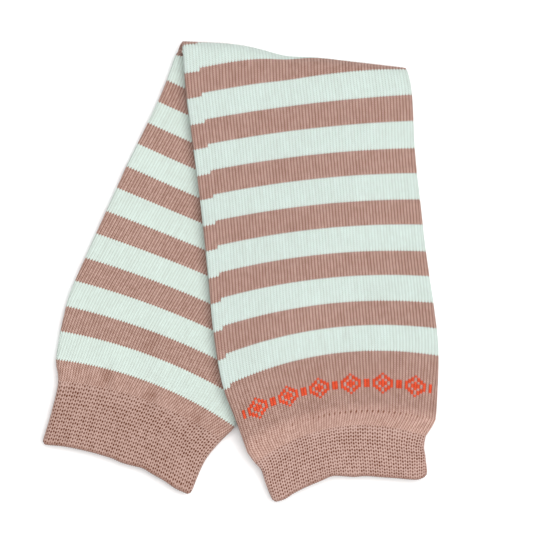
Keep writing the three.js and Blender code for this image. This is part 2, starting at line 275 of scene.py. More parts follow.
class FoldedPair:
    """The two warmers' cloth, unfolded as a plan and folded as it lies.

    A place on the cloth is its length along the tube from the middle, positive in the front leg, its share across
    the leg from the left edge to the right, and its depth over the concave face of the two warmers.
    """

    FOLD_LEFT = np.array([-21.4, 86.1])
    FOLD_RIGHT = np.array([62.1, 76.3])
    INNER_RADIUS = 0.6
    LEG_GAP = 0.6
    BULGE_REACH = 9.0
    EDGE_TOP = np.array([61.7, 76.1])
    EDGE_BOTTOM = np.array([-2.1, -58.5])
    DRAPE_START = -2.0
    DRAPE_WIDTH = 26.0
    WAVES = (Wave(18.5, 14.0, 1.3), Wave(39.0, 7.5, -0.95))
    WAVE_REACH = 12.0
    SAG_FROM = 0.35

    def __init__(self) -> None:
        """Work out the fold's own sizes and the curve through all sections."""
        self.pair_depth = pair_depth(LEG_WALL)
        self.radius = self.INNER_RADIUS + self.pair_depth
        self.fold_length = math.pi * self.radius
        along = self.FOLD_RIGHT - self.FOLD_LEFT
        self.along = along / np.linalg.norm(along)
        self.beyond = np.array([-self.along[1], self.along[0]])
        edge = self.EDGE_BOTTOM - self.EDGE_TOP
        self.edge_down = edge / np.linalg.norm(edge)
        back = [self._unfolded(s, Half.BACK) for s in reversed(BACK_SECTIONS)]
        front = [self._unfolded(s, Half.FRONT) for s in FRONT_SECTIONS]
        table = np.array(back + front)
        self.knots, self.values = table[:, 0], table[:, 1:]
        self.slopes = self._slopes()

    def _unfolded(self, section: Section, half: Half) -> list[float]:
        """Give a section's place on the cloth unfolded about the front leg.

        Args:
            section: The section as it lies.
            half: The half that it is in.

        Returns:
            Its length along the cloth, then along and beyond for its left and right ends, its arch and its sag. along
            is measured beside the fold, and beyond from where the bend starts, on the outermost cloth.
        """
        row = [half.value * section.row * ROW_HEIGHT]
        for end in (section.left, section.right):
            p = np.array(end) - self.FOLD_LEFT
            ahead = float(p @ self.beyond) + self.radius
            row += [float(p @ self.along), self.fold_length - ahead if half is Half.BACK else ahead]
        return row + [half.value * section.arch, section.sag]

    def _slopes(self) -> Array:
        """Return slopes at the knots, weighted harmonic means, so that the curve never swings past them."""
        step = np.diff(self.knots)[:, None]
        rise = np.diff(self.values, axis=0) / step
        before, after = rise[:-1], rise[1:]
        heavy, light = 2 * step[1:] + step[:-1], step[1:] + 2 * step[:-1]
        level = before * after <= 0
        safe_before, safe_after = np.where(level, 1.0, before), np.where(level, 1.0, after)
        inside = np.where(level, 0.0, (heavy + light) / (heavy / safe_before + light / safe_after))
        return np.vstack([rise[:1], inside, rise[-1:]])

    def section(self, length: Array) -> tuple[Array, Array, Array, Array, Array]:
        """Interpolate the section at each length with a cubic between its two knots.

        Args:
            length: Lengths along the cloth.

        Returns:
            The left end, the vector from the left to the right end, its length, the arch and the sag.
        """
        i = np.clip(np.searchsorted(self.knots, length, side="right") - 1, 0, len(self.knots) - 2)
        span = self.knots[i + 1] - self.knots[i]
        t = ((length - self.knots[i]) / span)[..., None]
        v0, rise = self.values[i], self.values[i + 1] - self.values[i]
        m0, m1 = self.slopes[i] * span[..., None], self.slopes[i + 1] * span[..., None]
        v = v0 + t * (m0 + t * (3 * rise - 2 * m0 - m1 + t * (m0 + m1 - 2 * rise)))
        left, chord = v[..., 0:2], v[..., 2:4] - v[..., 0:2]
        return left, chord, np.linalg.norm(chord, axis=-1), v[..., 4], v[..., 5]

    def width(self, length: Array) -> Array:
        """Return the leg's width at each length."""
        return self.section(length)[2]

    def on_cloth(self, length: Array, across: Array) -> tuple[Array, Array]:
        """Give points of the unfolded cloth: the chord's point, moved square to it by a parabola of the arch.

        The sag lessens the arch by the square of the distance from a third of the way across.

        Args:
            length: Lengths along the cloth.
            across: Shares across the leg.

        Returns:
            along and beyond, as for a section's ends.
        """
        left, chord, width, arch, sag = self.section(length)
        lift = 4 * across * (1 - across) * arch * (1 - sag * (across - self.SAG_FROM) ** 2) / width
        along = left[..., 0] + chord[..., 0] * across - chord[..., 1] * lift
        beyond = left[..., 1] + chord[..., 1] * across + chord[..., 0] * lift
        return along, beyond

    def front_base(self, x: Array, y: Array, beyond: Array) -> Array:
        """Give the height of the front leg's lower face.

        It lies on the back leg, and falls to the table in a smooth step past the back leg's right edge. Next to the
        fold it is lifted by a bell curve of the distance from it.

        Args:
            x: Places across the table.
            y: Places along the table.
            beyond: Distances beyond the start of the bend, negative on the flat.

        Returns:
            Heights over the table.
        """
        from_edge = -((x - self.EDGE_TOP[0]) * self.edge_down[1] - (y - self.EDGE_TOP[1]) * self.edge_down[0])
        share = smooth((from_edge - self.DRAPE_START) / self.DRAPE_WIDTH)
        bulge = (2 * self.INNER_RADIUS - self.LEG_GAP) * bell(beyond / self.BULGE_REACH)
        return (self.pair_depth + self.LEG_GAP) * (1 - share) + bulge

    def place(self, length: Array, across: Array, depth: Array, pair_depth_here: Array) -> Array:
        """Fold points of the cloth into their place over the table.

        On the bend, a point runs round a half circle whose radius is the inner radius plus its depth. Before it lies
        the front leg, face up, and past it the back leg, turned over.

        Args:
            length: Lengths along the cloth.
            across: Shares across the leg.
            depth: Depths over the concave face.
            pair_depth_here: The depth of both warmers together at each point.

        Returns:
            Points with x, y and z on the last axis.
        """
        along, beyond = self.on_cloth(length, across)
        bent = np.clip(beyond / self.fold_length, 0.0, 1.0) * math.pi
        radius = self.INNER_RADIUS + depth
        flat = np.where(beyond <= 0, beyond, np.minimum(0.0, self.fold_length - beyond))
        wave = sum(w.rise * bell((along - w.at) / w.width) for w in self.WAVES)
        near = bell((beyond - self.fold_length / 2) / self.WAVE_REACH)
        out = flat + radius * np.sin(bent) - self.radius + wave * near
        x = self.FOLD_LEFT[0] + self.along[0] * along + self.beyond[0] * out
        y = self.FOLD_LEFT[1] + self.along[1] * along + self.beyond[1] * out
        on_front = self.front_base(x, y, beyond) + depth
        on_bend = self.pair_depth + self.INNER_RADIUS + radius * np.cos(bent)
        on_back = pair_depth_here - depth
        z = np.where(beyond <= 0, on_front, np.where(beyond < self.fold_length, on_bend, on_back))
        return np.stack([x, y, z], axis=-1)


def tube_height(wall: float) -> float:
    """Return the height of a tube laid flat, with a wall above and below and the space between them."""
    return 2 * wall + PANEL_GAP


def pair_depth(wall: float) -> float:
    """Return the depth of two tubes laid flat one on the other."""
    return 2 * tube_height(wall) + WARMER_GAP


@dataclass
class KnitTube:
    """One tube of one warmer: a closed wall whose outer face carries the knit's relief."""

    name: str
    warmer: Warmer
    start: float
    end: float
    wall: float
    columns: int

    HIDDEN_INSET = 0.6
    INSET_REACH = 8.0
    HIDING_REACH = 35.0

    def profile(self) -> tuple[Array, Array, Array]:
        """Return the wall's profile along the cloth, out over its outer face and back over its inner one.

        Returns:
            Lengths along the cloth, depths below the outer face, and how much of the relief each row of points has.
        """
        raise NotImplementedError

    def relief(self, turn: Array, length: Array, shown: Array) -> Array:
        """Return how far the outer face stands out from the plain wall.

        Args:
            turn: Shares of the way round the tube.
            length: Lengths along the cloth.
            shown: 1 on the panel that shows and 0 elsewhere.

        Returns:
            Millimetres, positive outwards.
        """
        raise NotImplementedError

    def uv(self, turn: Array, length: Array) -> Array:
        """Return the knit's own coordinates of each place, stitches round and rows along."""
        raise NotImplementedError

    def height(self, length: Array) -> Array:
        """Return the height of the flat tube."""
        return np.full_like(length, tube_height(self.wall))

    def pull(self, turn: Array, length: Array, x: Array, width: Array) -> Array:
        """Return how far each point is drawn along the cloth from its own row.

        Args:
            turn: Shares of the way round the tube.
            length: Lengths along the cloth.
            x: Distances from the tube's left side.
            width: The tube's widths.

        Returns:
            Millimetres along the cloth.
        """
        return np.zeros_like(length)

    def drift(self, length: Array) -> Array:
        """Return how far round the tube the wales have wandered at each length, in millimetres."""
        return np.zeros_like(length)

    @staticmethod
    def loop(turn: Array, width: Array, reach: Array, offset: Array) -> tuple[Array, Array, Array]:
        """Run round a flat tube: along the top, round a half circle, back along the bottom, round the other one.

        Args:
            turn: Shares of the way round, from the top panel's left end.
            width: The tube's widths.
            reach: Half its heights, the radius of its rounded sides.
            offset: Millimetres out from the outer face.

        Returns:
            The place across in millimetres, the height, and 1 on top, -1 below and a cosine between on the sides.
        """
        panel = width - 2 * reach
        side = math.pi * reach
        p = turn * 2 * (panel + side)
        right = np.clip((p - panel) / reach, 0, math.pi)
        left = np.clip((p - 2 * panel - side) / reach, 0, math.pi)
        first = p < panel + side
        lean = np.where(first, np.cos(right), -np.cos(left))
        top_x = reach + np.minimum(p, panel)
        low_x = width - reach - np.clip(p - panel - side, 0, panel)
        bulge = (reach + offset) * np.where(first, np.sin(right), -np.sin(left))
        return np.where(first, top_x, low_x) + bulge, reach + (reach + offset) * lean, lean

    def points(self, pair: FoldedPair, turn: Array) -> Array:
        """Work out the wall's points.

        Args:
            pair: The folded cloth.
            turn: Shares of the way round the tube, one for each column of stitches, before it wanders.

        Returns:
            Points, rows by columns by three.
        """
        turn, length, below, share = np.broadcast_arrays(turn[None, :], *(a[:, None] for a in self.profile()))
        half = np.where(length > 0, 1.0, -1.0)
        is_outer = self.warmer is Warmer.OUTER
        height, width = self.height(length), pair.width(length)
        girth = 2 * (width - height) + math.pi * height
        place = (turn + self.drift(length) / girth) % 1.0
        plain_x, _, lean = self.loop(place, width, height / 2, np.zeros_like(turn))
        length = length + self.pull(turn, length, plain_x, width)
        width = pair.width(length)
        top, bottom = np.clip(lean, 0, 1), np.clip(-lean, 0, 1)
        front, back = half > 0, half < 0
        showing = top * front if is_outer else bottom * back
        under = bottom * front + top * back
        relief = self.relief(turn, length, showing) - self.troughs(length, plain_x, width, half) * under
        x, z, _ = self.loop(place, width, height / 2, relief * share - below)
        across = x / width
        beyond = pair.on_cloth(length, across)[1]
        front_share = smooth(0.5 + (pair.fold_length / 2 - beyond) / self.HIDING_REACH)
        hidden = 1 - front_share if is_outer else front_share
        from_side = width / 2 - np.abs(across - 0.5) * width
        inset = np.sign(across - 0.5) * self.HIDDEN_INSET * (1 - smooth(from_side / self.INSET_REACH)) / width
        across = across - hidden * inset
        level = height + WARMER_GAP if is_outer else 0.0
        depth = level + z + half * self.swelling(length, across) * showing
        placed = pair.place(length, across, depth, 2 * height + WARMER_GAP)
        placed[..., 2] += self.creases(placed, half) * showing
        return placed

    @staticmethod
    def swelling(length: Array, across: Array) -> Array:
        """Return the height of the soft swellings, nothing at the sides and by the fold."""
        row = np.abs(length) / ROW_HEIGHT
        share = np.clip(across, 0, 1)
        edge = 4 * share * (1 - share) * smooth((row - SWELLING_FROM) / SWELLING_OVER)
        total = np.zeros_like(length)
        for s in SWELLINGS:
            wave = np.cos(2 * math.pi * s.gathers * (share - 0.5)) if s.gathers else 1.0
            total += s.rise * wave * bell((row - s.row) / s.reach) * (np.sign(length) == s.half.value)
        return total * edge

    @staticmethod
    def troughs(length: Array, x: Array, width: Array, half: Array) -> Array:
        """Return the depth of the troughs on the panels underneath: a bell across each, faded out at its ends."""
        total = np.zeros_like(length)
        row = np.abs(length) / ROW_HEIGHT
        for t in TROUGHS:
            run_x, run_y = (t.end[0] - t.start[0]) * width, (t.end[1] - t.start[1]) * ROW_HEIGHT
            size = np.hypot(run_x, run_y)
            dx, dy = x - t.start[0] * width, (row - t.start[1]) * ROW_HEIGHT
            along = (dx * run_x + dy * run_y) / size**2 - 0.5
            aside = (dx * run_y - dy * run_x) / (size * t.width)
            total += t.depth * bell(aside) * bell(along / CREASE_FADE) * (half == t.half.value)
        return total

    @staticmethod
    def creases(placed: Array, half: Array) -> Array:
        """Return the height of the creases: a bell across each, faded out towards its ends."""
        total = np.zeros_like(half)
        for c in CREASES:
            start, run = np.array(c.start), np.array(c.end) - np.array(c.start)
            size = float(np.linalg.norm(run))
            step = run / size
            dx, dy = placed[..., 0] - start[0], placed[..., 1] - start[1]
            along = (dx * step[0] + dy * step[1]) / size - 0.5
            aside = (dx * step[1] - dy * step[0]) / c.width
            total += c.rise * bell(aside) * bell(along / CREASE_FADE) * (half == c.half.value)
        return total

    def build(self, pair: FoldedPair) -> bpy.types.Object:
        """Make the closed wall, with smooth faces but for the flat cut ends at the seams, whose rings are sharp.

        Args:
            pair: The folded cloth.

        Returns:
            The piece, with its place in its mesh and the knit's coordinates as its UV map.
        """
        length, below, _ = self.profile()
        turn = np.arange(self.columns) / self.columns
        placed = self.points(pair, turn)
        rows, columns = placed.shape[:2]
        # How deep each point lies in a crease's trough, which the materials darken as painted shade
        hollow = np.clip(-self.creases(placed, np.broadcast_to(np.sign(length)[:, None], (rows, columns))), 0, None)
        r, c = np.meshgrid(np.arange(rows), np.arange(columns), indexing="ij")
        r2, c2 = (r + 1) % rows, (c + 1) % columns
        corners = np.stack([r * columns + c2, r * columns + c, r2 * columns + c, r2 * columns + c2], axis=-1)
        mesh = bpy.data.meshes.new(self.name)
        mesh.from_pydata(placed.reshape(-1, 3) * MM, [], corners.reshape(-1, 4).tolist())
        mesh.attributes.new("hollow", "FLOAT", "POINT").data.foreach_set("value", hollow.reshape(-1).astype(np.float32))
        is_end = np.isclose(length[r], length[r2]) & (np.abs(below[r] - below[r2]) > self.wall / 2)
        mesh.polygons.foreach_set("use_smooth", ~is_end.reshape(-1))
        rings = np.empty(2 * len(mesh.edges), np.int32)
        mesh.edges.foreach_get("vertices", rings)
        rings = rings.reshape(-1, 2) // columns
        end_rings = np.union1d(r[is_end], r2[is_end])
        is_sharp = (rings[:, 0] == rings[:, 1]) & np.isin(rings[:, 0], end_rings)
        mesh.edges.foreach_set("use_edge_sharp", is_sharp)
        turns = np.stack([turn[c] + 1 / columns, turn[c], turn[c], turn[c] + 1 / columns], axis=-1)
        lengths = np.stack([length[r], length[r], length[r2], length[r2]], axis=-1)
        layer = mesh.uv_layers.new(name="knit")
        layer.data.foreach_set("uv", self.uv(turns, lengths).reshape(-1).astype(np.float32))
        mesh.update()
        piece = bpy.data.objects.new(self.name, mesh)
        bpy.context.scene.collection.objects.link(piece)
        return piece

    def cut(self, pair: FoldedPair) -> tuple[float, float, float]:
        """Return the flat cut's width all round, its length and its area, in metres."""
        length = np.linspace(self.start, self.end, 200)
        girth = 2 * pair.width(length)
        run = abs(self.end - self.start)
        return float(girth.max()) * MM, run * MM, float(girth.mean()) * run * MM * MM


@dataclass
class Leg(KnitTube):
    """The striped jersey leg of a warmer, with a plain band at both ends."""

    GROOVE = 0.22
    GROOVE_POWER = 6
    GROOVE_FADE = 3
    OUTER_STEP = 2.2
    INNER_STEP = 6.0
    FOLD_STEP = 1.45
    FOLD_FROM = -42.0
    FOLD_TO = 42.0
    SEAM_ROWS = 15.0
    TORQUE = {Warmer.OUTER: 0.00018, Warmer.INNER: 0.00045}

    def profile(self) -> tuple[Array, Array, Array]:
        """Return rows of points a little over two millimetres apart outside, six inside, closer round the fold."""
        out = self._lengths(self.OUTER_STEP, self.FOLD_STEP)
        back = self._lengths(self.INNER_STEP, 2 * self.FOLD_STEP)[::-1]
        below = np.concatenate([np.zeros(len(out)), np.full(len(back), self.wall)])
        return np.concatenate([out, back]), below, (below == 0).astype(float)

    def _lengths(self, step: float, fold_step: float) -> Array:
        """Space lengths by step on the flat and by fold_step round the fold."""
        stops = (
            (self.start, self.FOLD_FROM, step),
            (self.FOLD_FROM, self.FOLD_TO, fold_step),
            (self.FOLD_TO, self.end, step),
        )
        parts = [np.linspace(a, b, round((b - a) / s), endpoint=False) for a, b, s in stops]
        return np.concatenate([*parts, [self.end]])

    def drift(self, length: Array) -> Array:
        """Return the wales' drift, which grows with the squared length as the jersey's own twist turns them."""
        return -self.TORQUE[self.warmer] * length * np.abs(length)

    def to_seam(self, length: Array) -> Array:
        """Return the distance to the nearer seam, in rows."""
        return np.where(length > 0, self.end - length, length - self.start) / ROW_HEIGHT

    def relief(self, turn: Array, length: Array, shown: Array) -> Array:
        """Return the wales: level on top, with a groove between each two, faded out at the seam."""
        groove = np.abs(np.cos(math.pi * turn * WALES)) ** self.GROOVE_POWER
        return -self.GROOVE * groove * smooth(self.to_seam(length) / self.GROOVE_FADE)

    def uv(self, turn: Array, length: Array) -> Array:
        """Return wales round and rows along."""
        return np.stack([turn * WALES, length / ROW_HEIGHT], axis=-1)

    def height(self, length: Array) -> Array:
        """Return the tube's height, which grows to the thicker cuff's over the last rows before the seam."""
        share = smooth(1 - self.to_seam(length) / self.SEAM_ROWS)
        return tube_height(LEG_WALL) + (tube_height(CUFF_WALL) - tube_height(LEG_WALL)) * share


@dataclass
class Cuff(KnitTube):
    """A meshy ribbed cuff: columns of small holes round the tube, two to a rib, every second one shifted."""

    half: Half = Half.FRONT
    rows_per_stitch: int = 5
    stitch_height: float = 1.4
    slant: float = 0.0

    RIB = 0.2
    NARROW_RIB = 0.35
    WIDE_RIB = 0.15
    HOLE = 0.45
    HOLE_WIDTH = 0.15
    HOLE_LENGTH = 0.27
    SECOND_HOLE = 0.38
    SECOND_SHIFT = 0.27
    INNER_ROWS = 8
    CAP_ROWS = 6
    SEAM_FADE = 1.5
    HEM_EDGE = 0.6
    PLAIN_HEM = 1.3
    LIP = 0.12
    LIP_WIDTH = 0.9
    CORNER = 1.6
    PULL_REACH = 4.0
    SCALLOP = 0.11

    def profile(self) -> tuple[Array, Array, Array]:
        """Return a few rows of points for each stitch, round the hem in a half circle and back inside."""
        toward = self.half.value
        seam, hem = (self.start, self.end) if self.half is Half.FRONT else (self.end, self.start)
        radius = self.wall / 2
        stitches = abs(hem - seam) / self.stitch_height
        out = np.linspace(seam, hem - toward * radius, round(stitches * self.rows_per_stitch) + 1)
        angle = np.linspace(0, math.pi, self.CAP_ROWS + 2)[1:-1]
        cap = hem - toward * radius * (1 - np.sin(angle))
        back = np.linspace(hem - toward * radius, seam, self.INNER_ROWS)
        length = np.concatenate([out, cap, back])
        below = np.concatenate([np.zeros(len(out)), radius * (1 - np.cos(angle)), np.full(len(back), self.wall)])
        share = np.concatenate([np.ones(len(out)), 0.5 + 0.5 * np.cos(angle), np.zeros(len(back))])
        if self.half is Half.BACK:
            length, below, share = (np.roll(a[::-1], len(out) + self.CAP_ROWS) for a in (length, below, share))
        return length, below, share

    def from_seam(self, length: Array) -> Array:
        """Return the distance from the seam."""
        return length - self.start if self.half is Half.FRONT else self.end - length

    def to_hem(self, length: Array) -> Array:
        """Return the distance to the hem."""
        return abs(self.end - self.start) - self.from_seam(length)

    def relief(self, turn: Array, length: Array, shown: Array) -> Array:
        """Return the ribs and holes.

        Holes are round bells, one for each stitch, in the groove between two ribs and, a little further along, in the
        shallower one down the middle of each rib. The ribs are a sum of two cosines. Both fade in at the seam, and
        give way to a plain edge at the hem, swollen where it shows.
        """
        phase = turn * RIBS
        stitch = self.from_seam(length) / self.stitch_height
        first_aside = phase - np.round(phase)
        second_aside = phase - np.floor(phase) - 0.5
        first_along = stitch % 1.0 - 0.5
        second_along = (stitch + self.SECOND_SHIFT) % 1.0 - 0.5
        holes = self.HOLE * bell(first_aside / self.HOLE_WIDTH) * bell(first_along / self.HOLE_LENGTH)
        holes += self.SECOND_HOLE * bell(second_aside / self.HOLE_WIDTH) * bell(second_along / self.HOLE_LENGTH)
        ridge = -self.NARROW_RIB * np.cos(4 * math.pi * phase) - self.WIDE_RIB * np.cos(2 * math.pi * phase) - 0.5
        fade = smooth(self.from_seam(length) / self.SEAM_FADE)
        open_part = fade * smooth((self.to_hem(length) - self.HEM_EDGE) / self.PLAIN_HEM)
        lip = self.LIP * bell((self.to_hem(length) - self.wall / 2) / self.LIP_WIDTH) * shown
        return (self.RIB * ridge - holes) * open_part + lip

    def drift(self, length: Array) -> Array:
        """Return the ribs' drift, which grows evenly with the length."""
        return -self.slant * length

    def pull(self, turn: Array, length: Array, x: Array, width: Array) -> Array:
        """Draw the hem out and in along its waves, back round its corners, and in tiny scallops between the columns."""
        waves = sum(w.rise * bell((x - w.at) / w.width) for w in HEM_WAVES[self.half])
        close = self.CORNER - np.clip(np.minimum(x, width - x), 0, self.CORNER)
        corner = self.CORNER - np.sqrt(self.CORNER**2 - close**2)
        scallop = self.SCALLOP * (1 + np.cos(4 * math.pi * RIBS * turn))
        reach = smooth(1 - self.to_hem(length) / self.PULL_REACH)
        return self.half.value * reach * (waves - corner - scallop)

    def uv(self, turn: Array, length: Array) -> Array:
        """Return ribs round and stitches along, counted from the seam."""
        return np.stack([turn * RIBS, self.from_seam(length) / self.stitch_height], axis=-1)


class Bench:
    """Writes formulas as shader nodes."""

    DEEP = (0.2, 0.07, 0.01)

    def __init__(self, name: str) -> None:
        """Start a material with its Principled shader."""
        self.material = bpy.data.materials.new(name)
        self.material.use_nodes = True
        self.tree = self.material.node_tree
        self.shader = self.tree.nodes["Principled BSDF"]

    def new(self, kind: str, **settings: object) -> bpy.types.Node:
        """Add a node and set its properties."""
        node = self.tree.nodes.new(kind)
        for key, value in settings.items():
            setattr(node, key, value)
        return node

    def feed(self, socket: Socket, value: object) -> None:
        """Link a socket, or set a number or colour on it."""
        if isinstance(value, Socket):
            self.tree.links.new(value, socket)
        elif isinstance(value, tuple):
            socket.default_value = value[: len(socket.default_value)]
        else:
            socket.default_value = value

    def math(self, operation: str, *values: object, clamp: bool = False) -> Socket:
        """Return the result of one arithmetic step."""
        node = self.new("ShaderNodeMath", operation=operation, use_clamp=clamp)
        for socket, value in zip(node.inputs, values):
            self.feed(socket, value)
        return node.outputs[0]

    def mix(self, share: object, a: object, b: object) -> Socket:
        """Return colour a turned to colour b by share."""
        node = self.new("ShaderNodeMix", data_type="RGBA")
        self.feed(node.inputs[0], share)
        self.feed(node.inputs[6], a)
        self.feed(node.inputs[7], b)
        return node.outputs[2]

    def shade(self, colour: object, factor: object) -> Socket:
        """Return a colour made lighter or darker by a factor."""
        node = self.new("ShaderNodeVectorMath", operation="SCALE")
        self.feed(node.inputs[0], colour)
        self.feed(node.inputs["Scale"], factor)
        return node.outputs[0]

    def deepen(self, colour: object, share: object) -> Socket:
        """Return a colour turned by share to the deep warm shade that it has between the yarns."""
        node = self.new("ShaderNodeVectorMath", operation="MULTIPLY")
        self.feed(node.inputs[0], colour)
        self.feed(node.inputs[1], self.DEEP)
        return self.mix(share, colour, node.outputs[0])

    def knit(self) -> tuple[Socket, Socket]:
        """Return the knit's two coordinates from the piece's UV map."""
        uv = self.new("ShaderNodeUVMap", uv_map="knit")
        split = self.new("ShaderNodeSeparateXYZ")
        self.feed(split.inputs[0], uv.outputs[0])
        return split.outputs[0], split.outputs[1]

    def hollow(self) -> Socket:
        """Return how deep a place lies in a trough, in millimetres, where less light gets in between the yarns."""
        return self.new("ShaderNodeAttribute", attribute_name="hollow").outputs["Fac"]

    def vector(self, x: object, y: object) -> Socket:
        """Return a vector of two numbers."""
        node = self.new("ShaderNodeCombineXYZ")
        self.feed(node.inputs[0], x)
        self.feed(node.inputs[1], y)
        return node.outputs[0]

    def random(self, x: object, y: object) -> Socket:
        """Return a number from 0 to 1 that is the same all over a cell."""
        node = self.new("ShaderNodeTexWhiteNoise", noise_dimensions="2D")
        self.feed(node.inputs["Vector"], self.vector(x, y))
        return node.outputs["Value"]

    def noise(self, vector: object, scale: float, detail: float = 2.0) -> Socket:
        """Return smooth noise from 0 to 1."""
        node = self.new("ShaderNodeTexNoise")
        self.feed(node.inputs["Vector"], vector)
        node.inputs["Scale"].default_value = scale
        node.inputs["Detail"].default_value = detail
        return node.outputs[0]

    def bump(self, height: object, distance: float, strength: float) -> None:
        """Raise the surface by a height, in metres at 1."""
        node = self.new("ShaderNodeBump")
        node.inputs["Distance"].default_value = distance
        node.inputs["Strength"].default_value = strength
        self.feed(node.inputs["Height"], height)
        self.tree.links.new(node.outputs[0], self.shader.inputs["Normal"])

    def cotton(self, colour: object, sheen: float) -> bpy.types.Material:
        """Finish the shader as soft matt cotton.

        Args:
            colour: The surface colour.
            sheen: The strength of the fibres' soft sheen.

        Returns:
            The material.
        """
        self.feed(self.shader.inputs["Base Color"], colour)
        self.shader.inputs["Roughness"].default_value = 0.92
        self.shader.inputs["Specular IOR Level"].default_value = 0.18
        self.shader.inputs["Sheen Weight"].default_value = sheen
        self.shader.inputs["Sheen Roughness"].default_value = 0.5
        self.shader.inputs["Sheen Tint"].default_value = (1.0, 0.96, 0.92, 1.0)
        return self.material


@dataclass(frozen=True)
class Yarns:
    """The yarns' colours, as linear red, green and blue, and the painted shade that each millimetre of a hollow adds.
    """

    mint: Colour = (0.63, 0.75, 0.71, 1.0)
    rose: Colour = (0.567, 0.388, 0.336, 1.0)
    cuff_rose: Colour = (0.572, 0.392, 0.344, 1.0)
    orange: Colour = (0.95, 0.115, 0.045, 1.0)
    # Painted shade for each millimetre of a crease's hollow
    crease_painted_shade: float = 0.2


# The inner warmer's leg is painted a shade lighter than the outer one's and its cuffs a shade darker, as painted
# light and painted shade on the same yarns
YARNS = {
    Warmer.OUTER: Yarns(),
    Warmer.INNER: Yarns(
        mint=(0.68, 0.805, 0.75, 1.0), rose=(0.597, 0.41, 0.354, 1.0), cuff_rose=(0.53, 0.36, 0.31, 1.0)
    ),
}


